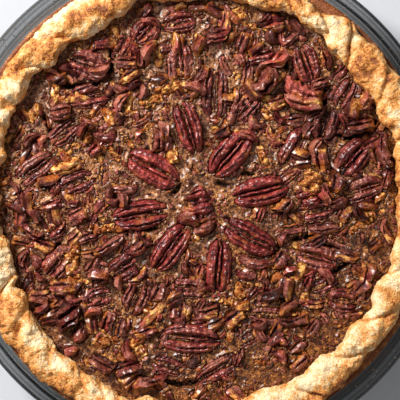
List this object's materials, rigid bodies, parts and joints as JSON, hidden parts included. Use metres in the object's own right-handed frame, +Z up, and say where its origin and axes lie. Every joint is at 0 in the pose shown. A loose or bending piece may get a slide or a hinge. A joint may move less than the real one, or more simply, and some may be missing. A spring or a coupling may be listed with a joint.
{
  "type": "pecan pie",
  "caption": "Round pecan pie in a clear glass pie plate: crimped golden pastry rim, dark custard filling and glossy pecan halves, a ring of them laid like petals in the middle.",
  "frame": {"origin": "centre of the glass plate's flat underside, at the height of the surface it stands on", "axes": "+Z up through the pie; +X and +Y across it, with the long petal pecan near +X to the right of the middle"},
  "size_m": [0.244, 0.244, 0.0434],
  "materials": {
    "glass": "clear, smooth pressed glass",
    "pastry": "matte baked pastry, golden with browned patches",
    "custard": "baked sugar custard with a slight sheen",
    "pecan": "glazed pecan skin, glossy"
  },
  "bodies": {
    "root": {"dish": "glass", "crust": "pastry", "filling": "custard", "pecan_01": "pecan", "pecan_02": "pecan", "pecan_03": "pecan", "pecan_04": "pecan", "pecan_05": "pecan", "pecan_06": "pecan", "pecan_07": "pecan", "pecan_08": "pecan", "pecan_09": "pecan", "pecan_10": "pecan", "pecan_11": "pecan", "pecan_12": "pecan", "pecan_13": "pecan", "pecan_14": "pecan", "pecan_15": "pecan", "pecan_16": "pecan", "pecan_17": "pecan", "pecan_18": "pecan", "pecan_19": "pecan", "pecan_20": "pecan", "pecan_21": "pecan", "pecan_22": "pecan", "pecan_23": "pecan", "pecan_24": "pecan", "pecan_25": "pecan", "pecan_26": "pecan", "pecan_27": "pecan", "pecan_28": "pecan", "pecan_29": "pecan", "pecan_30": "pecan", "pecan_31": "pecan", "pecan_32": "pecan", "pecan_33": "pecan", "pecan_34": "pecan", "pecan_35": "pecan", "pecan_36": "pecan", "pecan_37": "pecan", "pecan_38": "pecan", "pecan_39": "pecan", "pecan_40": "pecan", "pecan_41": "pecan", "pecan_42": "pecan", "pecan_43": "pecan", "pecan_44": "pecan", "pecan_45": "pecan", "pecan_46": "pecan"}
  },
  "joints": []
}
